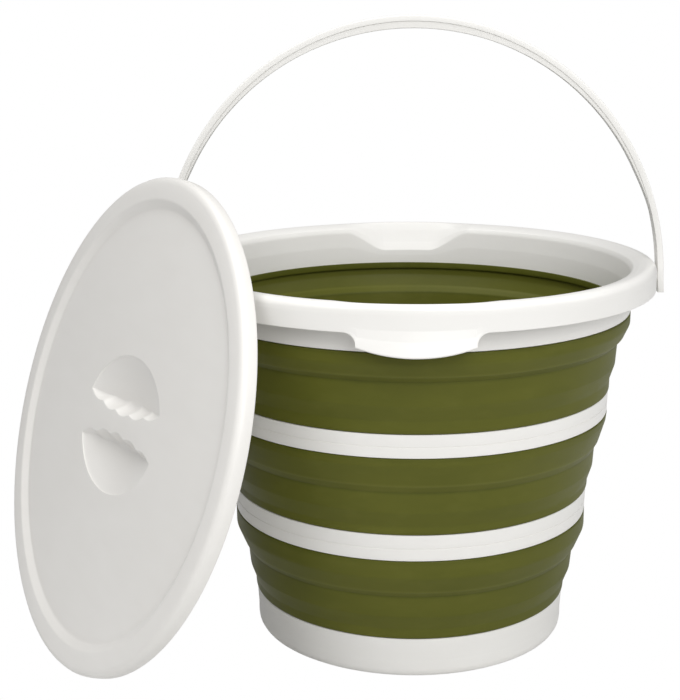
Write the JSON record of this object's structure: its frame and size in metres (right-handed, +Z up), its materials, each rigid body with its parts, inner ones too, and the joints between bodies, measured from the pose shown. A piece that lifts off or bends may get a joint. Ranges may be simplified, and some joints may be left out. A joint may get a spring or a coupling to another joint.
{
  "type": "collapsible camp bucket",
  "caption": "Round collapsible camp bucket: stiff rim, hoops and base joined by flexible folding bands, with a swinging bail handle and a round lid that leans against it.",
  "frame": {"origin": "middle of the base's underside, where the bucket's axis meets the floor", "axes": "+Z up along the bucket's axis; the pivot axis of the bail is along X; one grip tab faces -Y, the front, and the other +Y"},
  "size_m": [0.4512, 0.363, 0.4087],
  "materials": {
    "white_plastic": "satin moulded plastic, warm white",
    "lid_plastic": "satin moulded plastic, warm white, a little greyer than the rim",
    "olive_rubber": "satin thermoplastic rubber, olive green"
  },
  "bodies": {
    "base": {"base_cup": "white_plastic", "bellows_lower": "olive_rubber"},
    "lower_hoop": {"ring_lower": "white_plastic", "bellows_middle": "olive_rubber"},
    "upper_hoop": {"ring_upper": "white_plastic", "bellows_upper": "olive_rubber"},
    "rim": {"rim": "white_plastic"},
    "bail": {"bail": "white_plastic"},
    "lid": {"lid": "lid_plastic"}
  },
  "joints": [
    {"name": "fold_lower", "type": "slide", "parent": "base", "child": "lower_hoop", "axis": [0, 0, 1], "range_m": [-0.064, 0], "deforming": ["bellows_lower"]},
    {"name": "fold_middle", "type": "slide", "parent": "lower_hoop", "child": "upper_hoop", "axis": [0, 0, 1], "range_m": [-0.064, 0], "deforming": ["bellows_middle"]},
    {"name": "fold_upper", "type": "slide", "parent": "upper_hoop", "child": "rim", "axis": [0, 0, 1], "range_m": [-0.064, 0], "deforming": ["bellows_upper"]},
    {"name": "bail_swing", "type": "hinge", "parent": "rim", "child": "bail", "pos_m": [0, 0, 0.24], "axis": [1, 0, 0], "range_deg": [-88, 10]},
    {"name": "lid_lift", "type": "slide", "parent": "base", "child": "lid", "axis": [-0.597, -0.3789, 0.7071], "range_m": [0, 0.3]}
  ]
}
